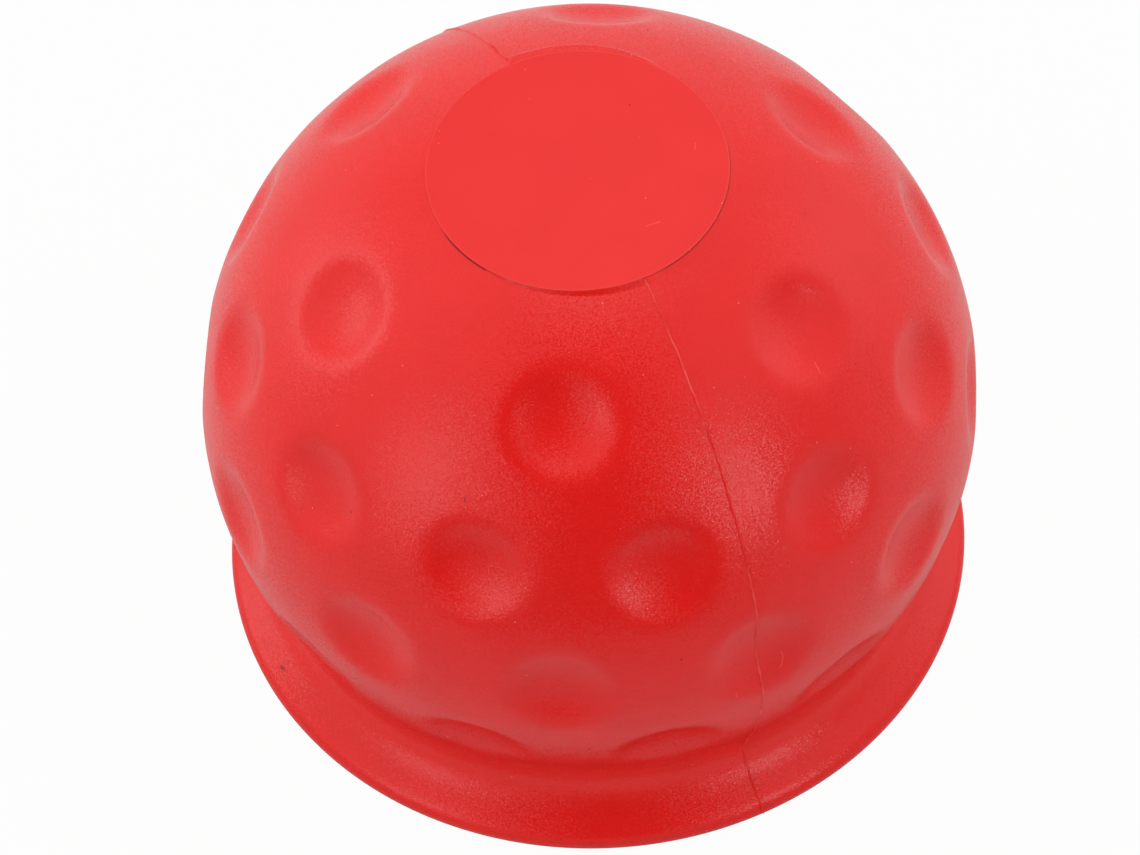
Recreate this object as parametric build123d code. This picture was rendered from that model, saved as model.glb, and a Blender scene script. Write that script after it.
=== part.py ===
from build123d import *
from math import atan2, cos, degrees, radians, sin, sqrt
import os

# Tow ball cover: one soft moulding, shaped as a dimpled ball with a flared skirt, hollow and open below.
# Millimetres. The rim stands on the plane Z = 0, the cover's axis is +Z, and the mould parts along the plane X = 0.

# The tow ball, the room that the socket leaves round it, and how far the throat closes in below it.
TOW_BALL_DIAMETER = 50.0
SOCKET_CLEARANCE = 1.0
THROAT_GRIP = 4.0

# The moulded wall, at the ball and at the neck.
BALL_WALL = 6.0
NECK_WALL = 5.8

# Below this latitude the wall is struck from a higher centre, so that it draws in to the waist.
TUCK_LATITUDE = -5.0
TUCK_RISE = 1.65
WAIST_FILLET_RADIUS = 4.0

# The skirt flares from the waist at a slope from the vertical, runs straight for a little, and turns over at the rim.
# The rim's round ends at its undercut, in degrees below the horizontal, on the flat land that the cover stands on.
SKIRT_SLOPE = 52.0
SKIRT_RUN = 1.5
RIM_EDGE_RADIUS = 1.5
RIM_UNDERCUT = 45.0
RIM_LAND = 2.6

# The flat round facet on top stands a little proud of the ball.
FACET_RADIUS = 12.1
FACET_STEP = 0.2

# Each dimple is a round dish in the wall. Its cutter stands a little above the wall.
DIMPLE_RADIUS = 4.8
DIMPLE_DEPTH = 1.12
DIMPLE_CUTTER_HEADROOM = 1.0

# Rings of dimples, from the top: the latitude that the wall faces there, the number of dimples round the ring,
# and the turn of the first one from the parting plane.
DIMPLE_RINGS = (
    (48.9, 6, 30.0),
    (25.5, 12, 16.7),
    (4.7, 12, 0.0),
    (-18.4, 12, 15.8),
)

# Radii that follow from the tow ball and the walls.
SOCKET_RADIUS = TOW_BALL_DIAMETER / 2 + SOCKET_CLEARANCE
BALL_RADIUS = SOCKET_RADIUS + BALL_WALL
THROAT_RADIUS = SOCKET_RADIUS - THROAT_GRIP
WAIST_RADIUS = THROAT_RADIUS + NECK_WALL


def at(centre, radius, direction):
    """Point of the profile's plane, at a radius from a centre, in degrees above the outward horizontal."""
    turn = radians(direction)
    return centre + Vector(radius * cos(turn), 0, radius * sin(turn))


def direction_to(start, end):
    """Direction from one point of the profile's plane to another, in degrees above the outward horizontal."""
    return degrees(atan2(end.Z - start.Z, end.X - start.X))


def arc(centre, radius, first, last):
    """Arc of the profile about a centre, between two directions in degrees."""
    return ThreePointArc(*(at(centre, radius, turn) for turn in (first, (first + last) / 2, last)))


# The skirt's profile is set out upwards from the rim plane to the waist.
slope = radians(SKIRT_SLOPE)
rim_radius = WAIST_RADIUS + (WAIST_FILLET_RADIUS + RIM_EDGE_RADIUS) * (1 - cos(slope)) + SKIRT_RUN * sin(slope)
rim_centre = Vector(rim_radius - RIM_EDGE_RADIUS, 0, RIM_EDGE_RADIUS * sin(radians(RIM_UNDERCUT)))
land_edge = at(rim_centre, RIM_EDGE_RADIUS, -RIM_UNDERCUT)
skirt_foot = at(rim_centre, RIM_EDGE_RADIUS, SKIRT_SLOPE)
skirt_top = at(skirt_foot, SKIRT_RUN, SKIRT_SLOPE + 90)
waist_centre = at(skirt_top, WAIST_FILLET_RADIUS, SKIRT_SLOPE)

# The lower wall leaves the ball at the tuck's latitude, and the ball stands where that wall meets the waist's fillet.
tuck_centre_to_wall = at(Vector(), BALL_RADIUS, TUCK_LATITUDE) - Vector(0, 0, TUCK_RISE)
tuck_radius = tuck_centre_to_wall.length
tuck_height = sqrt((tuck_radius + WAIST_FILLET_RADIUS) ** 2 - waist_centre.X ** 2)
tuck_centre = Vector(0, 0, waist_centre.Z + tuck_height)
ball_centre = tuck_centre - Vector(0, 0, TUCK_RISE)
tuck_latitude = direction_to(Vector(), tuck_centre_to_wall)
waist_latitude = direction_to(tuck_centre, waist_centre)

# The mouth flares from the throat to the rim's inner edge.
throat = ball_centre + Vector(THROAT_RADIUS, 0, -sqrt(SOCKET_RADIUS ** 2 - THROAT_RADIUS ** 2))
mouth_edge = land_edge - Vector(RIM_LAND, 0, 0)

# The facet lies on the circle where it meets the ball, raised by its step.
facet_foot = ball_centre + Vector(FACET_RADIUS, 0, sqrt(BALL_RADIUS ** 2 - FACET_RADIUS ** 2))
facet_edge = facet_foot + Vector(0, 0, FACET_STEP)
facet_middle = Vector(0, 0, facet_edge.Z)


def shell():
    """The plain hollow cover: its profile turned about the axis."""
    profile = [
        Line(facet_middle, facet_edge),
        Line(facet_edge, facet_foot),
        arc(ball_centre, BALL_RADIUS, direction_to(ball_centre, facet_foot), TUCK_LATITUDE),
        arc(tuck_centre, tuck_radius, tuck_latitude, waist_latitude),
        arc(waist_centre, WAIST_FILLET_RADIUS, waist_latitude + 180, SKIRT_SLOPE + 180),
        Line(skirt_top, skirt_foot),
        arc(rim_centre, RIM_EDGE_RADIUS, SKIRT_SLOPE, -RIM_UNDERCUT),
        Line(land_edge, mouth_edge),
        Line(mouth_edge, throat),
        arc(ball_centre, SOCKET_RADIUS, direction_to(ball_centre, throat), 90),
        Line(at(ball_centre, SOCKET_RADIUS, 90), facet_middle),
    ]
    return revolve(make_face(profile), Axis.Z)


def dimple_cutters():
    """The caps of balls that cut the dimples. A turn of nought lies on the parting plane, towards -Y."""
    ball_sag = BALL_RADIUS - sqrt(BALL_RADIUS ** 2 - DIMPLE_RADIUS ** 2)
    dish_sag = DIMPLE_DEPTH - ball_sag
    dish_radius = (DIMPLE_RADIUS ** 2 + dish_sag ** 2) / (2 * dish_sag)
    cutters = []
    for latitude, count, first_turn in DIMPLE_RINGS:
        on_ball = latitude > TUCK_LATITUDE
        centre = ball_centre if on_ball else tuck_centre
        radius = BALL_RADIUS if on_ball else tuck_radius
        dish = Pos(at(centre, radius + dish_radius - DIMPLE_DEPTH, latitude)) * Sphere(dish_radius)
        top = Plane(at(centre, radius + DIMPLE_CUTTER_HEADROOM, latitude), z_dir=at(Vector(), 1, latitude))
        cap = split(dish, bisect_by=top, keep=Keep.BOTTOM)
        for place in range(count):
            cutters.append(Rot(0, 0, first_turn + place * 360 / count - 90) * cap)
    return cutters


cover_shell = shell() - dimple_cutters()

os.makedirs("parts", exist_ok=True)
export_step(cover_shell, "parts/cover_shell.step")
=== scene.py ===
# %% [markdown]
# # A tow ball cover, shaped and finished in Blender
#
# The cover is one soft red moulding: a dimpled ball with a flat round facet on top and a flared skirt below.
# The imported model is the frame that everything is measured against, so it is loaded first.
# Blender counts in metres, so a millimetre gets a name, and so does the slack, a length too small to see.

# %% Load the frame
from math import atan2, cos, degrees, hypot, pi, radians, sin, sqrt

import bpy
from mathutils import Matrix, Quaternion, Vector


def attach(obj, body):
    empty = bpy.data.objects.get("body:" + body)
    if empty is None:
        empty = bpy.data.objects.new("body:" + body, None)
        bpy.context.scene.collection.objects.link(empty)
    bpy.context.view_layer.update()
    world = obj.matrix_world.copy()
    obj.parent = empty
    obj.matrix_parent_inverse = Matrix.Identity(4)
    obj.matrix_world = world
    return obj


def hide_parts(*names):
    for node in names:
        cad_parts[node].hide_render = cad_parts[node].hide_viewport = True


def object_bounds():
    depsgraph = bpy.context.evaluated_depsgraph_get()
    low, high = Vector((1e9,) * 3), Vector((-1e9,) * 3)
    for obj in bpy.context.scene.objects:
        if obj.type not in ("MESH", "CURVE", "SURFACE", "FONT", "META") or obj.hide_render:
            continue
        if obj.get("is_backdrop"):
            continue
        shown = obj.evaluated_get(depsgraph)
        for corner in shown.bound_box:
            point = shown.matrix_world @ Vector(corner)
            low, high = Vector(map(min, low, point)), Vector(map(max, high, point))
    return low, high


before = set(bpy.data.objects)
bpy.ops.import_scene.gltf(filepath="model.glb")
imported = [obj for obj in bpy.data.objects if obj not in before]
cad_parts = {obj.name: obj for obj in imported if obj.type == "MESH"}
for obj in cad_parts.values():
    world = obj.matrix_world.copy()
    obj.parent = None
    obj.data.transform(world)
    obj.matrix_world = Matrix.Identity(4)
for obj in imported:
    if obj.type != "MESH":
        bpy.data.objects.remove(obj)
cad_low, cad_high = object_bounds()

MM = 0.001
SLACK = MM / 100
print("frame, in mm:", [round(side / MM, 2) for side in cad_high - cad_low])

# %% [markdown]
# ## The sizes of the moulding
#
# A moulding like this is drawn as half of its section, and the drawing needs only a few radii.
# They are the real ones, in millimetres, and the rim stands on the floor at Z = 0. Slopes are in degrees.
# The ball is not one sphere all the way down: below its widest part it draws in to a waist,
# and that lower wall is struck from a higher centre.

# %% Sizes
BALL_RADIUS = 32.0 * MM
SOCKET_RADIUS = 26.0 * MM
THROAT_RADIUS = 22.0 * MM
WAIST_RADIUS = 27.8 * MM
TUCK_LATITUDE = -5.0
TUCK_RISE = 1.65 * MM
WAIST_FILLET_RADIUS = 4.0 * MM
SKIRT_SLOPE = 52.0
SKIRT_RUN = 1.5 * MM
RIM_EDGE_RADIUS = 1.5 * MM
RIM_UNDERCUT = 45.0
RIM_LAND = 2.6 * MM
FACET_RADIUS = 12.1 * MM
FACET_STEP = 0.2 * MM


def at(centre, radius, direction):
    """Point of the section's plane, at a radius from a centre, in degrees above the outward horizontal."""
    turn = radians(direction)
    return centre + Vector((radius * cos(turn), 0, radius * sin(turn)))


def direction_to(start, end):
    """Direction from one point of the section's plane to another, in degrees above the horizontal."""
    return degrees(atan2(end.z - start.z, end.x - start.x))


# %% Set out the skirt from the rim up, and the ball above it
slope = radians(SKIRT_SLOPE)
turned_out = (WAIST_FILLET_RADIUS + RIM_EDGE_RADIUS) * (1 - cos(slope))
rim_radius = WAIST_RADIUS + turned_out + SKIRT_RUN * sin(slope)
rim_centre = Vector((rim_radius - RIM_EDGE_RADIUS, 0, RIM_EDGE_RADIUS * sin(radians(RIM_UNDERCUT))))
skirt_foot = at(rim_centre, RIM_EDGE_RADIUS, SKIRT_SLOPE)
skirt_top = at(skirt_foot, SKIRT_RUN, SKIRT_SLOPE + 90)
waist_centre = at(skirt_top, WAIST_FILLET_RADIUS, SKIRT_SLOPE)

tuck_start = at(Vector(), BALL_RADIUS, TUCK_LATITUDE) - Vector((0, 0, TUCK_RISE))
tuck_radius = tuck_start.length
tuck_height = sqrt((tuck_radius + WAIST_FILLET_RADIUS) ** 2 - waist_centre.x ** 2)
tuck_centre = Vector((0, 0, waist_centre.z + tuck_height))
ball_centre = tuck_centre - Vector((0, 0, TUCK_RISE))
facet_foot = ball_centre + Vector((FACET_RADIUS, 0, sqrt(BALL_RADIUS ** 2 - FACET_RADIUS ** 2)))
throat = ball_centre + Vector((THROAT_RADIUS, 0, -sqrt(SOCKET_RADIUS ** 2 - THROAT_RADIUS ** 2)))
top_height = facet_foot.z + FACET_STEP
print("rim radius", round(rim_radius / MM, 2), "ball centre height", round(ball_centre.z / MM, 2))
print("height", round(top_height / MM, 2), "in the frame", round(cad_high.z / MM, 2))

# %% [markdown]
# ## Drawing with a pen in edit mode
#
# A section is easy to draw with two strokes. Extruding a single vertex draws a straight stroke.
# Spinning a single vertex about a point draws an arc, in as many steps as are asked for.
# Blender has no operator that adds one vertex, so a small plane is merged at its centre
# and moved to the start.

# %% The pen
MERGE_DISTANCE = MM / 1000


def start_pen(name, point):
    """A new mesh in edit mode, with one selected vertex, the pen's first point."""
    bpy.ops.object.select_all(action="DESELECT")
    bpy.ops.mesh.primitive_plane_add(size=MM)
    piece = bpy.context.object
    piece.name = name
    piece.data.name = name
    bpy.ops.object.mode_set(mode="EDIT")
    bpy.ops.mesh.select_all(action="SELECT")
    bpy.ops.mesh.merge(type="CENTER")
    bpy.ops.transform.translate(value=point)
    return piece


def stroke(start, end, steps=1):
    """A straight stroke of the pen, in equal steps."""
    for _ in range(steps):
        bpy.ops.mesh.extrude_vertices_move(TRANSFORM_OT_translate={"value": (end - start) / steps})


def sweep(centre, first, last, steps):
    """A round stroke of the pen about a centre, between two directions in degrees."""
    bpy.ops.mesh.spin(steps=steps, angle=radians(last - first), center=centre, axis=(0, 1, 0))


def turn_about_axis(steps):
    """Spins the whole drawing about Z, and closes the seam and the poles."""
    bpy.ops.mesh.select_all(action="SELECT")
    bpy.ops.mesh.spin(steps=steps, angle=2 * pi, center=(0, 0, 0), axis=(0, 0, 1))
    bpy.ops.mesh.select_all(action="SELECT")
    bpy.ops.mesh.remove_doubles(threshold=MERGE_DISTANCE)
    bpy.ops.mesh.normals_make_consistent(inside=False)
    bpy.ops.object.mode_set(mode="OBJECT")


# %% [markdown]
# ## The hollow shell
#
# The section runs from the middle of the facet, over its edge, down the ball and the skirt, under the rim,
# and back up the mouth and the socket to the axis. One spin then makes the whole wall, inside and outside.
# Spheres and cones could be joined by booleans instead, but a spun section keeps one clean grid of rings
# and columns, and the dimples are pressed into that grid afterwards. So the outside is drawn in
# half-millimetre steps. Beside the facet the steps are finer, because small moulding marks follow there.

# %% Set out the points of the section
EDGE_ROUND = 0.05 * MM
EDGE_BAND = 0.12 * MM
FINE_WIDTH = 0.6 * MM
COLLAR_WIDTH = 2.0 * MM

facet_middle = Vector((0, 0, top_height))
facet_edge = Vector((FACET_RADIUS - EDGE_ROUND, 0, top_height))
edge_band = facet_edge - Vector((EDGE_BAND, 0, 0))
edge_centre = facet_edge - Vector((0, 0, EDGE_ROUND))
facet_latitude = direction_to(ball_centre, facet_foot)
fine_latitude = facet_latitude - degrees(FINE_WIDTH / BALL_RADIUS)
collar_latitude = facet_latitude - degrees(COLLAR_WIDTH / BALL_RADIUS)
tuck_latitude = direction_to(Vector(), tuck_start)
waist_latitude = direction_to(tuck_centre, waist_centre)
land_edge = at(rim_centre, RIM_EDGE_RADIUS, -RIM_UNDERCUT)
mouth_edge = land_edge - Vector((RIM_LAND, 0, 0))
print("latitudes: facet", round(facet_latitude, 1), "tuck", round(tuck_latitude, 1),
      "waist", round(waist_latitude, 1))

# %% Draw the section and spin it
ROUND_STEPS = 384
WALL_STEP = 0.5 * MM
FINE_STEP = 0.06 * MM
COLLAR_STEP = 0.13 * MM
RIM_STEP = 0.25 * MM
SOCKET_STEP = 1.5 * MM
FACET_STEPS = 8
EDGE_STEPS = 3
SKIRT_STEPS = 3
LAND_STEPS = 2
MOUTH_STEPS = 6


def wall_arc(centre, radius, first, last, step=WALL_STEP):
    """A round stroke whose steps are about as long as the grid asks."""
    steps = max(2, round(abs(radians(first - last)) * radius / step))
    sweep(centre, first, last, steps)


cover = start_pen("cover", facet_middle)
stroke(facet_middle, edge_band, FACET_STEPS)
stroke(edge_band, facet_edge)
sweep(edge_centre, 90, 0, EDGE_STEPS)
stroke(at(edge_centre, EDGE_ROUND, 0), facet_foot)
wall_arc(ball_centre, BALL_RADIUS, facet_latitude, fine_latitude, FINE_STEP)
wall_arc(ball_centre, BALL_RADIUS, fine_latitude, collar_latitude, COLLAR_STEP)
wall_arc(ball_centre, BALL_RADIUS, collar_latitude, TUCK_LATITUDE)
wall_arc(tuck_centre, tuck_radius, tuck_latitude, waist_latitude)
wall_arc(waist_centre, WAIST_FILLET_RADIUS, waist_latitude + 180, SKIRT_SLOPE + 180)
stroke(skirt_top, skirt_foot, SKIRT_STEPS)
wall_arc(rim_centre, RIM_EDGE_RADIUS, SKIRT_SLOPE, -RIM_UNDERCUT, RIM_STEP)
stroke(land_edge, mouth_edge, LAND_STEPS)
stroke(mouth_edge, throat, MOUTH_STEPS)
wall_arc(ball_centre, SOCKET_RADIUS, direction_to(ball_centre, throat), 90, SOCKET_STEP)
cover.update_from_editmode()
print("points in the section:", len(cover.data.vertices))
turn_about_axis(ROUND_STEPS)
print("shell:", len(cover.data.vertices), "points,", len(cover.data.polygons), "faces")

# %% [markdown]
# ## Ease the ball into the tuck and the waist
#
# Where the two spheres meet, the drawing has a faint crease that the soft moulding doesn't have.
# Smoothing only the rings on both sides of that line runs one sphere into the other.
# The waist is eased the same way, because its fillet starts too suddenly for a soft moulding.

# %% Smooth the crease and the waist
SMOOTH_FACTOR = 0.5
CREASE_REACH = 2.5 * MM
CREASE_REPEATS = 12
WAIST_REACH = 2.4 * MM
WAIST_REPEATS = 30


def select_points(piece, wanted):
    """Selects, in object mode, the points whose place answers a test, and returns how many there are."""
    flags = [wanted(point.co) for point in piece.data.vertices]
    for group in (piece.data.edges, piece.data.polygons):
        group.foreach_set("select", [False] * len(group))
    piece.data.vertices.foreach_set("select", flags)
    return sum(flags)


def outside(point):
    """True for a point of the outer wall, from the facet's foot down to the rim."""
    if point.z < waist_centre.z:
        return hypot(point.x, point.y) > WAIST_RADIUS - SLACK
    return (point - ball_centre).length > SOCKET_RADIUS + MM and point.z < facet_foot.z + SLACK


def smooth_band(height, reach, repeats):
    """Smooths the rings of the outer wall that lie within a reach of a height."""
    count = select_points(cover, lambda point: outside(point) and abs(point.z - height) < reach)
    bpy.ops.object.mode_set(mode="EDIT")
    bpy.ops.mesh.vertices_smooth(factor=SMOOTH_FACTOR, repeat=repeats)
    bpy.ops.object.mode_set(mode="OBJECT")
    print("points smoothed:", count)


crease_height = at(ball_centre, BALL_RADIUS, TUCK_LATITUDE).z
waist_height = at(tuck_centre, tuck_radius, waist_latitude).z
smooth_band(crease_height, CREASE_REACH, CREASE_REPEATS)
smooth_band(waist_height, WAIST_REACH, WAIST_REPEATS)

# %% [markdown]
# ## The dimples
#
# Each dimple is a shallow dish with a soft shoulder that runs out into the ball. A boolean cut would leave
# ragged faces round every edge. The real wall took its dimples from bosses in the mould, so this one does
# the same: one boss is drawn and spun, copied round the four rings, and the wall is shrink-wrapped inwards
# onto the bosses.

# %% Draw one boss
DIMPLE_RADIUS = 4.4 * MM
DIMPLE_DEPTH = 1.15 * MM
SHOULDER_RADIUS = 4.0 * MM
DISH_STEPS = 16
SHOULDER_STEPS = 10
BOSS_ROUND_STEPS = 96


def draw_boss():
    """A boss with its middle at the origin, its face down, shaped like the dish that it presses."""
    ball_sag = BALL_RADIUS - sqrt(BALL_RADIUS ** 2 - DIMPLE_RADIUS ** 2)
    dish_sag = DIMPLE_DEPTH - ball_sag
    dish_radius = (DIMPLE_RADIUS ** 2 + dish_sag ** 2) / (2 * dish_sag)
    dish_centre = Vector((0, 0, dish_radius - DIMPLE_DEPTH))
    wall_centre = Vector((0, 0, -BALL_RADIUS))
    # The shoulder's circle touches the dish from outside and the ball from inside.
    far, near = (dish_radius + SHOULDER_RADIUS) ** 2, (BALL_RADIUS - SHOULDER_RADIUS) ** 2
    rise = (dish_centre.z ** 2 - BALL_RADIUS ** 2 - far + near) / (2 * (dish_centre.z + BALL_RADIUS))
    shoulder = Vector((sqrt(near - (rise + BALL_RADIUS) ** 2), 0, rise))
    turn = direction_to(dish_centre, shoulder)
    run_out = direction_to(wall_centre, shoulder)
    piece = start_pen("boss", Vector((0, 0, -DIMPLE_DEPTH)))
    sweep(dish_centre, -90, turn, DISH_STEPS)
    sweep(shoulder, turn + 180, run_out, SHOULDER_STEPS)
    turn_about_axis(BOSS_ROUND_STEPS)
    return piece, at(wall_centre, BALL_RADIUS, run_out).x


boss, dimple_reach = draw_boss()
print("boss:", len(boss.data.polygons), "faces,", round(dimple_reach / MM, 2), "mm from middle to edge")

# %% [markdown]
# The rings lie at four latitudes of the wall. The dimples of the second and fourth rings sit between their
# neighbours, turned a little from the parting plane, as on the real cover. Each copy has a mesh of its own.

# %% Copy the boss round the rings
# For each ring: its latitude, the number of dimples, and the turn of the first one from the parting plane.
RINGS = (
    (48.9, 6, 30.0),
    (25.5, 12, 16.7),
    (4.7, 12, 0.0),
    (-18.4, 12, 15.8),
)


def wall_place(latitude, turn):
    """Where a boss stands on the wall: its face on the wall, its axis along the wall's normal."""
    on_ball = latitude > TUCK_LATITUDE
    centre, radius = (ball_centre, BALL_RADIUS) if on_ball else (tuck_centre, tuck_radius)
    round_axis = Matrix.Rotation(radians(turn - 90), 4, "Z")
    tilt = Matrix.Rotation(radians(90 - latitude), 4, "Y")
    return round_axis @ Matrix.Translation(at(centre, radius, latitude)) @ tilt


def copy_to(piece, place):
    """A copy of a piece, with a mesh of its own, at a place."""
    copy = piece.copy()
    copy.data = piece.data.copy()
    copy.matrix_world = place
    bpy.context.collection.objects.link(copy)
    return copy


places = [wall_place(latitude, first + step * 360 / count)
          for latitude, count, first in RINGS for step in range(count)]
bosses = [copy_to(boss, place) for place in places]
bpy.data.objects.remove(boss)
bpy.ops.object.select_all(action="DESELECT")
for copy in bosses:
    copy.select_set(True)
bpy.context.view_layer.objects.active = bosses[0]
bpy.ops.object.join()
mould = bpy.context.object
print("bosses on the mould:", len(places))

# %% [markdown]
# Now the mould closes. Every point of the wall looks inwards along its normal, and where a boss stands
# in its way it moves onto the boss. The points between the bosses find nothing and stay where they are.
# The lowest dimples end in the waist, where soft vinyl doesn't keep a sharp lip,
# so that band is eased once more.

# %% Press the wall onto the bosses
LIP_REACH = 1.9 * MM
LIP_REPEATS = 10

before = [point.co.copy() for point in cover.data.vertices]
bpy.ops.object.select_all(action="DESELECT")
cover.select_set(True)
bpy.context.view_layer.objects.active = cover
press = cover.modifiers.new("press", "SHRINKWRAP")
press.target = mould
press.wrap_method = "PROJECT"
press.use_negative_direction = True
press.use_positive_direction = False
press.project_limit = 2 * DIMPLE_DEPTH
bpy.ops.object.modifier_apply(modifier=press.name)
bpy.data.objects.remove(mould)
moved = [(point.co - old).length for point, old in zip(cover.data.vertices, before)]
print("points pressed in:", sum(way > SLACK for way in moved), "deepest", round(max(moved) / MM, 3), "mm")
smooth_band(waist_height, LIP_REACH, LIP_REPEATS)

# %% [markdown]
# ## Where the mould halves don't quite meet
#
# The facet is the face of a round insert between two mould halves, and the halves don't line up with it.
# In front, one half leaves a narrow ramp against the insert, which shows as a dark band that ends at the
# parting line. The other half stands a little nearer to flush there, and leaves a flat crescent behind.
# These are moves of a few tenths of a millimetre in the fine collar of the grid. No operator fades a move
# along an arc like this, so they are made point by point.

# %% Lay the ramp in front and the ledge behind
RAMP_RISE = 0.17 * MM
RAMP_WIDTH = 0.46 * MM
RAMP_SPREAD = 62.0
FLUSH_RISE = 0.05 * MM
FLUSH_SPREAD = 105.0
FLUSH_STEEPNESS = 3
FLUSH_REACH = 0.8 * MM
LEDGE_WIDTH = 0.8 * MM
LEDGE_SPREAD = 68.0
LEDGE_STEEPNESS = 1.6
LEDGE_RISE = 0.12 * MM
LEDGE_SLOPE = 0.22
LEDGE_FADE = 0.4 * MM


def turn_of(point):
    """Turn of a point about the axis, in degrees from -Y towards +X."""
    return degrees(atan2(point.x, -point.y))


def out_from_facet(point):
    """How far a point lies outside the facet's circle."""
    return hypot(point.x, point.y) - FACET_RADIUS


def ease(share):
    """Runs smoothly from 0 to 1 as its share does."""
    share = min(max(share, 0), 1)
    return share * share * (3 - 2 * share)


def ramp_width(turn):
    """The ramp is widest in front and runs out to both sides."""
    return RAMP_WIDTH * max(1 - abs(turn) / RAMP_SPREAD, 0)


def collar_move(point):
    """How far a point of the collar rises, or sinks where the move is negative."""
    out, turn = out_from_facet(point), turn_of(point)
    if point.x < -SLACK:
        width = ramp_width(turn)
        return RAMP_RISE * max(1 - out / width, 0) if width > SLACK else 0
    if point.x < SLACK:
        return 0
    flush = FLUSH_RISE * ease(FLUSH_STEEPNESS * (1 - turn / FLUSH_SPREAD)) * ease(1 - out / FLUSH_REACH)
    edge = LEDGE_WIDTH * ease((turn - 180 + LEDGE_SPREAD) / LEDGE_SPREAD * LEDGE_STEEPNESS)
    ledge = ease((edge + LEDGE_FADE - out) / LEDGE_FADE) * ease(edge / LEDGE_FADE)
    return flush + ledge * (facet_foot.z + LEDGE_RISE - LEDGE_SLOPE * out - point.z)


collar = [point for point in cover.data.vertices
          if outside(point.co) and out_from_facet(point.co) < COLLAR_WIDTH and point.co.z > ball_centre.z]
moves = [collar_move(point.co) for point in collar]
for point, move in zip(collar, moves):
    point.co.z += move
print("collar:", len(collar), "points, moved by", [round(end(moves) / MM, 2) for end in (min, max)], "mm")

# %% [markdown]
# ## The parting line
#
# A thin thread of flash runs down both sides of the cover, over the ball, through the dimples and over
# the skirt. A wire laid on the wall would show its seam, and the grid already has a column of edges there.
# Bevelling that column gives four narrow strips, and the middle edge between them becomes the thread.

# %% Bevel the column of edges
FLASH_WIDTH = 0.18 * MM
FLASH_STRIPS = 4
flash_low = rim_centre.z


def on_parting_line(point):
    """True for a point of the outer wall in the parting plane, down to the middle of the rim's round."""
    return abs(point.x) < SLACK and outside(point) and point.z > flash_low - SLACK


count = select_points(cover, on_parting_line)
bpy.ops.object.mode_set(mode="EDIT")
bpy.ops.mesh.select_mode(type="VERT")
bpy.ops.mesh.select_mode(type="EDGE")
bpy.ops.mesh.bevel(offset=FLASH_WIDTH, offset_type="OFFSET", segments=FLASH_STRIPS, affect="EDGES")
bpy.ops.mesh.select_mode(type="VERT")
bpy.ops.object.mode_set(mode="OBJECT")
crest = [point for point in cover.data.vertices if on_parting_line(point.co)]
crest_points = {point.index for point in crest}
print("points on the parting line:", count, "then on the crest:", len(crest))

# %% [markdown]
# The crest is raised along the wall's normals. Its height and its line waver, as flash does. At the rim,
# where the mould halves were trimmed apart, it ends in a small nub. It stands higher where no hand rubs it,
# on the waist and the skirt, and behind the facet. The thread stays inside the frame's box.

# %% Raise the crest
FLASH_HEIGHT = 0.13 * MM
SKIRT_SWELL = 1.0
SKIRT_SWELL_TOP = 15 * MM
BACK_SWELL = 0.7
BACK_SWELL_FOOT = 42 * MM
SWELL_REACH = 6 * MM
NUB_HEIGHT = 0.22 * MM
NUB_REACH = 1.2 * MM
# The waves along the crest: the mean, and each wave's size, length and phase.
WAVER_MEAN = 0.75
WAVES = ((0.2, 1.3 * MM, 0), (0.15, 0.47 * MM, 2))
FLASH_SWAY = 0.03 * MM
SWAY_LENGTH = 0.19 * MM
SWAY_DRIFT = 2.9 * MM
SMOOTH_ANGLE = 40


def waver(height):
    """Share of its full height that the flash has at a height on the cover."""
    return WAVER_MEAN + sum(size * sin(height / length + phase) for size, length, phase in WAVES)


def swell(point):
    """How many times its plain height the flash has at a point."""
    on_skirt = ease((SKIRT_SWELL_TOP - point.z) / SWELL_REACH)
    at_back = ease((point.z - BACK_SWELL_FOOT) / SWELL_REACH) if point.y > 0 else 0
    return 1 + SKIRT_SWELL * on_skirt + BACK_SWELL * at_back


for point in crest:
    nub = NUB_HEIGHT * ease(1 - (point.co.z - flash_low) / NUB_REACH)
    point.co += point.normal * (FLASH_HEIGHT * swell(point.co) * waver(point.co.z) + nub)
    point.co.y = min(max(point.co.y, cad_low.y), cad_high.y)
for point in cover.data.vertices:
    near_crest = abs(point.co.x) < 1.5 * FLASH_WIDTH and outside(point.co)
    if near_crest and point.co.z > flash_low + NUB_REACH:
        point.co.x += FLASH_SWAY * sin(point.co.z / SWAY_LENGTH) * sin(point.co.z / SWAY_DRIFT)
bpy.ops.object.shade_smooth_by_angle(angle=radians(SMOOTH_ANGLE))
print("cover:", sum(len(face.vertices) - 2 for face in cover.data.polygons), "triangles")

# %% [markdown]
# ## Where the moulding is pale, and where highlight and shade are painted
#
# The flash is paler where its vinyl is thin, and a painted highlight lies along its crest.
# The facet's sharp edge gets a painted highlight. Painted shade darkens the ramp and the corner at the
# facet's foot.
# A texture can't know where these lie. They follow the mesh, so they are written to it as attributes,
# one number a point, that the material reads later.

# %% Mark the pale flash, the painted highlights and the painted shade
# The flash's crest: its paler thin vinyl and a painted highlight, in one number.
FLASH_PALE_AND_HIGHLIGHT = 1.0
PALE_HIGHLIGHT_MEAN = 0.7
PALE_HIGHLIGHT_SWING = 0.3
PALE_HIGHLIGHT_LENGTH = 0.31 * MM
PLAIN_BAND_LATITUDES = (20.0, 50.0)
PLAIN_BAND_FADE = 4.0
# A painted highlight on the facet's rounded edge.
EDGE_HIGHLIGHT = 0.22
# Painted shade on the ramp in front of the facet.
RAMP_SHADE = 0.14
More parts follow.
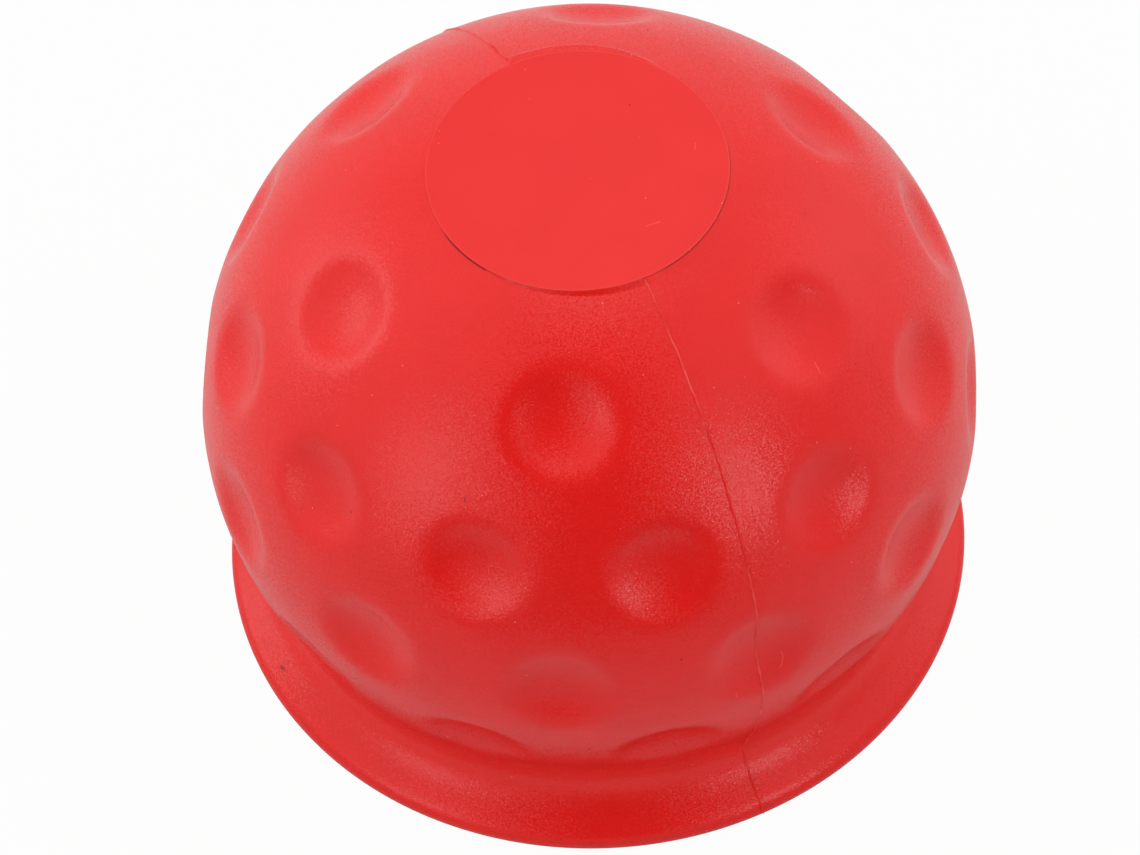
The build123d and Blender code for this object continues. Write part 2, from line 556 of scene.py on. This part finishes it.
# Arcs of painted shade in the corner: the turns where each starts and ends, and how dark it is.
CORNER_SHADE = ((-90.0, -56.0, 1.0), (3.0, 80.0, 0.55))
CORNER_SHADE_FADE = 8.0
CORNER_SHADE_WIDTH = 0.08 * MM
edge_shoulder = top_height - 0.2 * EDGE_ROUND
edge_foot = top_height - 1.1 * EDGE_ROUND


def flash_pale_and_highlight(point):
    """How pale the flash's crest is, and how much painted highlight it carries. Between two latitudes on the
    front of the ball it gets neither.
    """
    latitude = degrees(atan2(point.z - ball_centre.z, -point.y))
    low, high = PLAIN_BAND_LATITUDES
    plain_band = ease((latitude - low) / PLAIN_BAND_FADE) * ease((high - latitude) / PLAIN_BAND_FADE)
    return FLASH_PALE_AND_HIGHLIGHT * (1 - plain_band) * (PALE_HIGHLIGHT_MEAN + PALE_HIGHLIGHT_SWING * sin(point.z / PALE_HIGHLIGHT_LENGTH))


def edge_highlight(point):
    """The painted highlight on a point of the facet's rounded edge."""
    on_edge = abs(out_from_facet(point) + EDGE_ROUND / 2) < EDGE_ROUND and point.z > edge_foot
    return EDGE_HIGHLIGHT if on_edge else 0.0


def painted_shade(point):
    """The painted shade at a point, on the ramp or in the corner at the facet's foot."""
    out, turn = out_from_facet(point), turn_of(point)
    if not -SLACK < out < COLLAR_WIDTH or point.z < ball_centre.z:
        return 0.0
    if point.x < -SLACK and abs(turn) < RAMP_SPREAD and point.z < edge_shoulder:
        return RAMP_SHADE * ease(2 - 2 * out / max(ramp_width(turn), SLACK))
    if out > CORNER_SHADE_WIDTH or point.z > edge_foot:
        return 0.0
    return sum(level * ease((turn - first) / CORNER_SHADE_FADE) * ease((last - turn) / CORNER_SHADE_FADE)
               for first, last, level in CORNER_SHADE)


def write_attribute(name, values):
    """One number for each point of the cover."""
    layer = cover.data.attributes.new(name, "FLOAT", "POINT")
    layer.data.foreach_set("value", values)
    print(name, "on", sum(value > 0 for value in values), "points")


write_attribute("pale_and_highlight", [flash_pale_and_highlight(point.co) if point.index in crest_points else edge_highlight(point.co)
                         for point in cover.data.vertices])
write_attribute("painted_shade", [painted_shade(point.co) for point in cover.data.vertices])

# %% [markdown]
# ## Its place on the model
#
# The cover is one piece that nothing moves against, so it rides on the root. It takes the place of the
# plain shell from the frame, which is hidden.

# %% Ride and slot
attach(cover, "root")
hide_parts("cover_shell")
print("cover rides on root, in place of cover_shell")

# %% [markdown]
# ## The camera
#
# The photograph looks down on the cover from the front left, from about 60 cm, through a long lens.
# The direction, distance, roll and lens were fitted to the photograph's outline, facet and dimples.

# %% Camera
CAMERA_AZIMUTH = -23.3
CAMERA_ELEVATION = 53.675
CAMERA_DISTANCE = 604.6 * MM
CAMERA_ROLL = -3.379
CAMERA_LENS = 231.2
SENSOR_WIDTH = 36
CLIP_START = 0.05
CLIP_END = 20
# The point that the camera looks at, from the ball's centre.
AIM = Vector((-2.561, -1.433, -1.689)) * MM


def towards(azimuth, elevation):
    """Unit vector from the object to a place: azimuth from -Y towards +X, elevation above the floor."""
    a, e = radians(azimuth), radians(elevation)
    return Vector((sin(a) * cos(e), -cos(a) * cos(e), sin(e)))


camera = bpy.data.objects.new("camera", bpy.data.cameras.new("camera"))
bpy.context.collection.objects.link(camera)
camera.location = ball_centre + towards(CAMERA_AZIMUTH, CAMERA_ELEVATION) * CAMERA_DISTANCE
back = camera.location - (ball_centre + AIM)
camera.rotation_mode = "QUATERNION"
camera.rotation_quaternion = back.to_track_quat("Z", "Y") @ Quaternion((0, 0, 1), radians(CAMERA_ROLL))
camera.data.lens = CAMERA_LENS
camera.data.sensor_width = SENSOR_WIDTH
camera.data.clip_start = CLIP_START
camera.data.clip_end = CLIP_END
bpy.context.scene.camera = camera
print("camera, in mm:", [round(part / MM, 1) for part in camera.location])

# %% [markdown]
# ## Where the small marks are
#
# The real cover carries a few dark specks, some pale scratches and a short fibre. A random texture would
# strew them elsewhere, so their places were read from the photograph in pixels. A ray from the camera
# through each pixel meets the cover where the mark belongs, so the marks stay on the surface in every view.

# %% Find the marks on the cover
PICTURE_WIDTH = 1140
PICTURE_HEIGHT = 855
# Dark specks: the pixels where each starts and ends, and its reach in millimetres.
DARK_SPECKS = (
    ((281.3, 666.8), (284.0, 669.3), 0.26),
    ((350.7, 511.6), (351.3, 512.4), 0.17),
    ((464.4, 496.0), (464.8, 501.5), 0.11),
    ((589.3, 748.6), (589.6, 749.8), 0.14),
    ((629.6, 104.8), (630.0, 105.4), 0.12),
    ((647.5, 29.2), (647.9, 30.4), 0.13),
    ((681.4, 659.0), (681.6, 660.2), 0.14),
)
# Pale scratches and dust grains, and the pieces of the curled fibre.
PALE_MARKS = (
    ((646.0, 226.0), (659.0, 222.0), 0.07),
    ((656.5, 222.6), (659.0, 221.8), 0.14),
    ((695.5, 143.0), (695.0, 150.0), 0.08),
    ((500.5, 455.0), (505.5, 464.0), 0.08),
    ((815.0, 363.0), (820.5, 373.0), 0.09),
    ((736.0, 693.0), (736.3, 697.5), 0.07),
    ((780.5, 651.7), (782.5, 654.3), 0.07),
    ((782.5, 654.3), (783.0, 658.7), 0.07),
    ((783.0, 658.7), (781.5, 664.6), 0.07),
    ((781.5, 664.6), (779.3, 667.5), 0.07),
    ((525.0, 69.0), (525.6, 70.2), 0.12),
    ((529.0, 98.6), (529.6, 99.2), 0.10),
    ((639.0, 137.0), (639.4, 137.4), 0.09),
    ((590.0, 178.0), (590.4, 178.4), 0.09),
)


def under_pixel(pixel):
    """The point of the cover that the camera sees at a pixel of the photograph."""
    side = SENSOR_WIDTH / CAMERA_LENS / PICTURE_WIDTH
    ray = Vector(((pixel[0] - PICTURE_WIDTH / 2) * side, (PICTURE_HEIGHT / 2 - pixel[1]) * side, -1))
    return cover.ray_cast(camera.location, camera.rotation_quaternion @ ray)[1]


def on_cover(marks):
    """The marks' starts, ends and reaches on the cover."""
    return [(under_pixel(first), under_pixel(last), reach * MM) for first, last, reach in marks]


bpy.context.view_layer.update()
dark_marks = on_cover(DARK_SPECKS)
pale_marks = on_cover(PALE_MARKS)
print("dark specks:", len(dark_marks), "pale marks:", len(pale_marks))

# %% [markdown]
# ## A group that draws one mark
#
# Every mark is a short straight stroke with a soft edge. The group measures how far a place on the surface
# lies from that stroke, and turns the distance into a mask. It is built once and placed once for each mark.

# %% Build the mark group
def add(tree, kind, **settings):
    """A new node with its settings."""
    node = tree.nodes.new(kind)
    for name, value in settings.items():
        setattr(node, name, value)
    return node


def vector_math(tree, operation, first, second):
    """A vector operation on two sockets."""
    node = add(tree, "ShaderNodeVectorMath", operation=operation)
    tree.links.new(first, node.inputs[0])
    tree.links.new(second, node.inputs[1])
    return node


def build_mark_group():
    """Mask of a stroke from Start along Run, where Share is the run divided by its length squared."""
    group = bpy.data.node_groups.new("mark", "ShaderNodeTree")
    for name in ("Place", "Start", "Run", "Share"):
        group.interface.new_socket(name, in_out="INPUT", socket_type="NodeSocketVector")
    group.interface.new_socket("Reach", in_out="INPUT", socket_type="NodeSocketFloat")
    group.interface.new_socket("Mask", in_out="OUTPUT", socket_type="NodeSocketFloat")
    given = add(group, "NodeGroupInput").outputs
    offset = vector_math(group, "SUBTRACT", given["Place"], given["Start"])
    along = vector_math(group, "DOT_PRODUCT", offset.outputs["Vector"], given["Share"])
    clamp = add(group, "ShaderNodeClamp")
    group.links.new(along.outputs["Value"], clamp.inputs["Value"])
    run = add(group, "ShaderNodeVectorMath", operation="SCALE")
    group.links.new(given["Run"], run.inputs[0])
    group.links.new(clamp.outputs["Result"], run.inputs["Scale"])
    gap = vector_math(group, "DISTANCE", offset.outputs["Vector"], run.outputs["Vector"])
    fade = add(group, "ShaderNodeMapRange", interpolation_type="SMOOTHSTEP")
    group.links.new(gap.outputs["Value"], fade.inputs["Value"])
    group.links.new(given["Reach"], fade.inputs["From Max"])
    fade.inputs["To Min"].default_value = 1.0
    fade.inputs["To Max"].default_value = 0.0
    result = add(group, "NodeGroupOutput")
    group.links.new(fade.outputs["Result"], result.inputs["Mask"])
    return group


mark_group = build_mark_group()
print("mark group:", len(mark_group.nodes), "nodes")

# %% [markdown]
# ## The soft red vinyl
#
# The cover is moulded in soft PVC. Its skin has a fine grain that breaks the highlights into sparkle, and
# the facet, which the insert pressed, is smoother. The red is a little uneven, and pale dust lies on it.
# A pattern wrapped round the ball would stretch at the top, so each of these is a texture on Object
# coordinates, at its real scale. Colours are laid one over another, like paint, so a few helpers come first.

# %% Start the vinyl
VINYL_IOR = 1.38

vinyl = bpy.data.materials.new("soft_red_vinyl")
vinyl.use_nodes = True
tree = vinyl.node_tree
shader = tree.nodes["Principled BSDF"]
shader.inputs["IOR"].default_value = VINYL_IOR
cover.data.materials.clear()
cover.data.materials.append(vinyl)
coordinates = add(tree, "ShaderNodeTexCoord").outputs
place = coordinates["Object"]
print("vinyl on:", cover.name)


# %% Helpers for values
def noise(scale, detail=2.0):
    """A noise on the vinyl, with features of about one part in scale of a metre."""
    node = add(tree, "ShaderNodeTexNoise")
    node.inputs["Scale"].default_value = scale
    node.inputs["Detail"].default_value = detail
    tree.links.new(place, node.inputs["Vector"])
    return node.outputs


def spread(tree, value, low, high, new_low, new_high, **settings):
    """Maps one range of a value to another, and stops at its ends."""
    node = add(tree, "ShaderNodeMapRange", **settings)
    tree.links.new(value, node.inputs["Value"])
    for name, number in (("From Min", low), ("From Max", high), ("To Min", new_low), ("To Max", new_high)):
        node.inputs[name].default_value = number
    return node.outputs["Result"]


def combine(tree, operation, first, second):
    """A product or maximum of two values. The second may be a plain number."""
    node = add(tree, "ShaderNodeMath", operation=operation)
    tree.links.new(first, node.inputs[0])
    if isinstance(second, float):
        node.inputs[1].default_value = second
    else:
        tree.links.new(second, node.inputs[1])
    return node.outputs["Value"]


# %% A layer of paint
def named(sockets, identifier):
    """The Mix node has a socket of each name for each kind of data. Their identifiers tell them apart."""
    return next(socket for socket in sockets if socket.identifier == identifier)


def blend(ground, mask, paint):
    """Lays a paint over a plain or linked colour of the vinyl, where a mask says so."""
    node = add(tree, "ShaderNodeMix", data_type="RGBA")
    tree.links.new(mask, named(node.inputs, "Factor_Float"))
    if isinstance(ground, tuple):
        named(node.inputs, "A_Color").default_value = ground
    else:
        tree.links.new(ground, named(node.inputs, "A_Color"))
    named(node.inputs, "B_Color").default_value = paint
    return named(node.outputs, "Result_Color")


# %% [markdown]
# The pigment isn't mixed quite evenly. Two reds that differ by a few hundredths show it,
# in patches of some millimetres.

# %% Uneven red
RED = (0.79, 0.012, 0.0095, 1)
DEEP_RED = (0.76, 0.0105, 0.0085, 1)
PATCH_SCALE = 160.0
PATCH_LOW, PATCH_HIGH = 0.35, 0.65

patches = spread(tree, noise(PATCH_SCALE)["Fac"], PATCH_LOW, PATCH_HIGH, 0.0, 1.0)
colour = blend(RED, patches, DEEP_RED)
print("reds:", RED[:3], DEEP_RED[:3])

# %% [markdown]
# The flash is paler where its vinyl is thin, and it and the facet's edge carry painted highlights.
# The waist gets a little painted light that lifts the shade in its crease. Painted shade goes over them,
# on the ramp and in the corner at the facet's foot. Dust lies in tiny pale grains: the middles of the cells
# of a Voronoi texture.

# %% Paleness, painted highlights, painted light, painted shade and dust
# Lighter red: the flash's real paleness, and also painted highlights on the flash and the facet's edge and
# painted light on the waist.
PALE_AND_LIT_RED = (0.93, 0.075, 0.065, 1)
# Dark red painted as shade on the ramp and in the corner at the facet's foot.
PAINTED_SHADE_RED = (0.30, 0.004, 0.003, 1)
DUST = (0.95, 0.30, 0.27, 1)
DUST_SCALE = 480.0
DUST_REACH = 0.07 * MM
DUST_STRENGTH = 0.6
WAIST_SPAN = 3.2 * MM
# Painted light on the waist, lifting the shade in its crease.
WAIST_PAINTED_LIGHT = 0.25


def attribute(name):
    """A number that the mesh carries at its points."""
    return add(tree, "ShaderNodeAttribute", attribute_name=name).outputs["Fac"]


apart = add(tree, "ShaderNodeSeparateXYZ")
tree.links.new(place, apart.inputs["Vector"])
height = apart.outputs["Z"]
rising = spread(tree, height, waist_centre.z - WAIST_SPAN, waist_centre.z, 0.0, WAIST_PAINTED_LIGHT)
falling = spread(tree, height, waist_centre.z, waist_centre.z + WAIST_SPAN, 1.0, 0.0)
# Painted light on the waist.
colour = blend(colour, combine(tree, "MULTIPLY", rising, falling), PALE_AND_LIT_RED)
# The flash's paleness, with painted highlights on its crest and on the facet's edge.
colour = blend(colour, attribute("pale_and_highlight"), PALE_AND_LIT_RED)
# Painted shade on the ramp and in the corner at the facet's foot.
colour = blend(colour, attribute("painted_shade"), PAINTED_SHADE_RED)

cells = add(tree, "ShaderNodeTexVoronoi")
cells.inputs["Scale"].default_value = DUST_SCALE
tree.links.new(place, cells.inputs["Vector"])
grain_edge = DUST_REACH * DUST_SCALE
dust = spread(tree, cells.outputs["Distance"], grain_edge, grain_edge / 2, 0.0, DUST_STRENGTH)
colour = blend(colour, dust, DUST)
print("dust grains of", round(DUST_REACH / MM, 2), "mm, about", round(1 / DUST_SCALE / MM, 1), "mm apart")

# %% [markdown]
# The marks found above are laid over the red: the scratches and the fibre faintly,
# and the specks in a dark red.

# %% Specks, scratches and the fibre
SPECK = (0.34, 0.003, 0.002, 1)
SCRATCH = (0.95, 0.10, 0.09, 1)
SCRATCH_STRENGTH = 0.5


def all_marks(marks):
    """One mask for a list of marks."""
    mask = None
    for first, last, reach in marks:
        node = add(tree, "ShaderNodeGroup", node_tree=mark_group)
        tree.links.new(place, node.inputs["Place"])
        run = last - first
        node.inputs["Start"].default_value = first
        node.inputs["Run"].default_value = run
        node.inputs["Share"].default_value = run / run.length_squared
        node.inputs["Reach"].default_value = reach
        one = node.outputs["Mask"]
        mask = one if mask is None else combine(tree, "MAXIMUM", mask, one)
    return mask


colour = blend(colour, combine(tree, "MULTIPLY", all_marks(pale_marks), SCRATCH_STRENGTH), SCRATCH)
colour = blend(colour, all_marks(dark_marks), SPECK)
tree.links.new(colour, shader.inputs["Base Color"])
print("paint layers:", sum(node.type == "MIX" for node in tree.nodes))

# %% [markdown]
# The grain is as fine as a pixel of the picture, and a bump would blur it away there. A noise that tilts
# the normal keeps it sharp: each tiny slope either catches a lamp or misses it, and that makes
# the sparkle. On the facet the grain is almost gone, and the gloss is duller.

# %% Grain and gloss
GRAIN_SCALE = 7600.0
GRAIN_DETAIL = 1.0
GRAIN_TILT = 0.7
ROUGHNESS = 0.25
FACET_GRAIN = 0.06
FACET_ROUGHNESS = 0.3
# Depths under the facet between which the skin's finish gives way to the facet's.
SKIN_DEPTH = 0.06 * MM
FACET_DEPTH = 0.01 * MM


def by_height(on_skin, on_facet):
    """A number that differs on the facet, which lies at the top height."""
    return spread(tree, height, top_height - SKIN_DEPTH, top_height - FACET_DEPTH, on_skin, on_facet)


centred = add(tree, "ShaderNodeVectorMath", operation="SUBTRACT")
tree.links.new(noise(GRAIN_SCALE, GRAIN_DETAIL)["Color"], centred.inputs[0])
centred.inputs[1].default_value = (0.5, 0.5, 0.5)
tilt = add(tree, "ShaderNodeVectorMath", operation="SCALE")
tree.links.new(centred.outputs["Vector"], tilt.inputs[0])
tree.links.new(by_height(GRAIN_TILT, GRAIN_TILT * FACET_GRAIN), tilt.inputs["Scale"])
facing = vector_math(tree, "ADD", coordinates["Normal"], tilt.outputs["Vector"])
unit = add(tree, "ShaderNodeVectorMath", operation="NORMALIZE")
tree.links.new(facing.outputs["Vector"], unit.inputs[0])
tree.links.new(unit.outputs["Vector"], shader.inputs["Normal"])
tree.links.new(by_height(ROUGHNESS, FACET_ROUGHNESS), shader.inputs["Roughness"])
print("vinyl:", len(tree.nodes), "nodes")

# %% [markdown]
# ## A white floor
#
# The cover stands in plain soft light, as in a small white tent, on white paper. A white diffuse floor alone
# would turn grey in the picture. So the camera sees most of the paper as plain white, and the rest
# keeps a faint shadow. Glossy reflections see only a little of that white.

# %% Paper
FLOOR_SIZE = 4.0
FLOOR_DROP = MM / 50
PAPER = (0.66, 0.66, 0.66, 1)
WHITE_SHARE = 0.96
GLOSSY_SHARE = 0.03

bpy.ops.object.select_all(action="DESELECT")
bpy.ops.mesh.primitive_plane_add(size=FLOOR_SIZE, location=(0, 0, -FLOOR_DROP))
floor = bpy.context.object
floor.name = "floor"
floor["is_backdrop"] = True
paper = bpy.data.materials.new("white_paper")
paper.use_nodes = True
tree = paper.node_tree
tree.nodes.clear()
diffuse = add(tree, "ShaderNodeBsdfDiffuse")
diffuse.inputs["Color"].default_value = PAPER
white = add(tree, "ShaderNodeEmission")
rays = add(tree, "ShaderNodeLightPath").outputs
glossy = combine(tree, "MULTIPLY", rays["Is Glossy Ray"], GLOSSY_SHARE)
seen = combine(tree, "MAXIMUM", rays["Is Camera Ray"], rays["Is Transmission Ray"])
mix = add(tree, "ShaderNodeMixShader")
tree.links.new(combine(tree, "MULTIPLY", combine(tree, "MAXIMUM", seen, glossy), WHITE_SHARE),
               mix.inputs["Fac"])
tree.links.new(diffuse.outputs["BSDF"], mix.inputs[1])
tree.links.new(white.outputs["Emission"], mix.inputs[2])
tree.links.new(mix.outputs["Shader"], add(tree, "ShaderNodeOutputMaterial").inputs["Surface"])
floor.data.materials.append(paper)
print("floor:", FLOOR_SIZE, "m wide,", round(FLOOR_DROP / MM, 2), "mm under the rim")

# %% [markdown]
# The front of the tent is open. Through it the gloss on the cover reflects a dark room, which gives the ball
# its deep red middle. So the paper ends some way in front of the cover, on a dark cloth that the camera
# doesn't see.

# %% Cloth
CLOTH_START = 0.11
CLOTH_WIDTH = 0.30
CLOTH_LENGTH = 0.60
CLOTH_HEIGHT = MM / 2
FELT = (0.03, 0.03, 0.03, 1)
FELT_ROUGHNESS = 0.9

cloth_middle = towards(CAMERA_AZIMUTH, 0) * (CLOTH_START + CLOTH_LENGTH / 2) + Vector((0, 0, CLOTH_HEIGHT))
bpy.ops.object.select_all(action="DESELECT")
bpy.ops.mesh.primitive_plane_add(size=1, location=cloth_middle, rotation=(0, 0, radians(CAMERA_AZIMUTH)))
cloth = bpy.context.object
cloth.name = "cloth"
cloth.scale = (CLOTH_WIDTH, CLOTH_LENGTH, 1)
cloth.visible_camera = False
cloth.visible_shadow = False
cloth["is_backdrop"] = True
felt = bpy.data.materials.new("dark_felt")
felt.use_nodes = True
felt_shader = felt.node_tree.nodes["Principled BSDF"]
felt_shader.inputs["Base Color"].default_value = FELT
felt_shader.inputs["Roughness"].default_value = FELT_ROUGHNESS
cloth.data.materials.append(felt)
print("cloth from", CLOTH_START, "m in front")

# %% [markdown]
# The tent is the world itself: white all round, with a dark doorway towards the camera and a dim gap at
# the right. The doorway is cut by the ray's direction, from its shares towards the camera and to the sides.

# %% The tent and its opening
TENT_LEVEL = 1.0
# Degrees to each side, and up, at which the doorway starts to fade and at which it has ended.
OPENING_SIDE = (14.0, 24.0)
OPENING_TOP = (60.0, 74.0)
OPENING_LEVEL = 0.03
GAP_AZIMUTH = 66.0
GAP_ELEVATION = 6.0
GAP_CORE, GAP_WIDTH = 20.0 / 3, 20.0
GAP_LEVEL = 0.35

world = bpy.data.worlds.new("tent")
bpy.context.scene.world = world
world.use_nodes = True
tree = world.node_tree
background = tree.nodes["Background"]
background.inputs["Color"].default_value = (1, 1, 1, 1)
ray = add(tree, "ShaderNodeTexCoord").outputs["Generated"]


def share_of(direction, low, high):
    """Runs from 0 to 1 as the ray's part along a direction does from low to high."""
    part = add(tree, "ShaderNodeVectorMath", operation="DOT_PRODUCT")
    tree.links.new(ray, part.inputs[0])
    part.inputs[1].default_value = direction
    return spread(tree, part.outputs["Value"], low, high, 0.0, 1.0, interpolation_type="SMOOTHSTEP")


side_start, side_end = (sin(radians(angle)) for angle in OPENING_SIDE)
top_start, top_end = (cos(radians(angle)) for angle in OPENING_TOP)
gap_start, gap_end = (cos(radians(angle)) for angle in (GAP_CORE, GAP_WIDTH))
front = share_of(towards(CAMERA_AZIMUTH, 0), top_end, top_start)
right_side = share_of(towards(CAMERA_AZIMUTH + 90, 0), side_end, side_start)
left_side = share_of(towards(CAMERA_AZIMUTH - 90, 0), side_end, side_start)
opening = combine(tree, "MULTIPLY", front, combine(tree, "MULTIPLY", right_side, left_side))
gap = share_of(towards(CAMERA_AZIMUTH + GAP_AZIMUTH, GAP_ELEVATION), gap_end, gap_start)
doorway_light = spread(tree, opening, 0.0, 1.0, TENT_LEVEL, OPENING_LEVEL)
gap_light = spread(tree, gap, 0.0, 1.0, 1.0, GAP_LEVEL)
tree.links.new(combine(tree, "MULTIPLY", doorway_light, gap_light), background.inputs["Strength"])
print("tent level:", TENT_LEVEL, "in the doorway:", OPENING_LEVEL)

# %% [markdown]
# ## The lamps
#
# Seven soft lamps stand round the cover. Two narrow strips in front, one on each side, make the sparkling
# bands on the ball. Wide weak lamps at the sides and above lift the left side, the facet and the back.
# One bright lamp would do for a plain view, but it would leave a hard spot on the gloss.

# %% Lamps
LAMP_DISTANCE = 0.75
# For each lamp: its azimuth from the camera's, its elevation, its width and height in metres, and its watts.
LAMPS = (
    ("left_strip", -50, 16, 0.18, 0.45, 0.60),
    ("left_side", -108, 14, 0.35, 0.30, 0.52),
    ("right_strip", 43, 13, 0.07, 0.35, 0.65),
    ("right_side", 108, 20, 0.35, 0.35, 0.20),
    ("top_left", -95, 48, 0.45, 0.40, 0.21),
    ("top_back", 150, 66, 0.55, 0.45, 0.37),
    ("top", 0, 90, 0.35, 0.35, 0.39),
)


def softbox(name, azimuth, elevation, width, height, power):
    """A rectangular area lamp that faces the ball and that the camera doesn't see."""
    lamp = bpy.data.lights.new(name, "AREA")
    lamp.shape = "RECTANGLE"
    lamp.size = width
    lamp.size_y = height
    lamp.energy = power
    holder = bpy.data.objects.new(name, lamp)
    bpy.context.collection.objects.link(holder)
    direction = towards(CAMERA_AZIMUTH + azimuth, elevation)
    holder.location = ball_centre + direction * LAMP_DISTANCE
    holder.rotation_mode = "QUATERNION"
    holder.rotation_quaternion = direction.to_track_quat("Z", "Y")
    holder.visible_camera = False


for lamp in LAMPS:
    softbox(*lamp)
print("lamps:", len(LAMPS), "with", round(sum(lamp[-1] for lamp in LAMPS), 2), "W in all")

# %% [markdown]
# ## View and finish
#
# The colours are shown as they are, with the plain view transform. Last, how far the finished cover reaches
# past the frame's box on each side is printed.

# %% View and finish
bpy.context.scene.view_settings.view_transform = "Standard"

visual_low, visual_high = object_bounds()
over = (*(cad_low - visual_low), *(visual_high - cad_high))
print("over the box, in mm:", [round(max(side, 0) / MM, 4) for side in over])
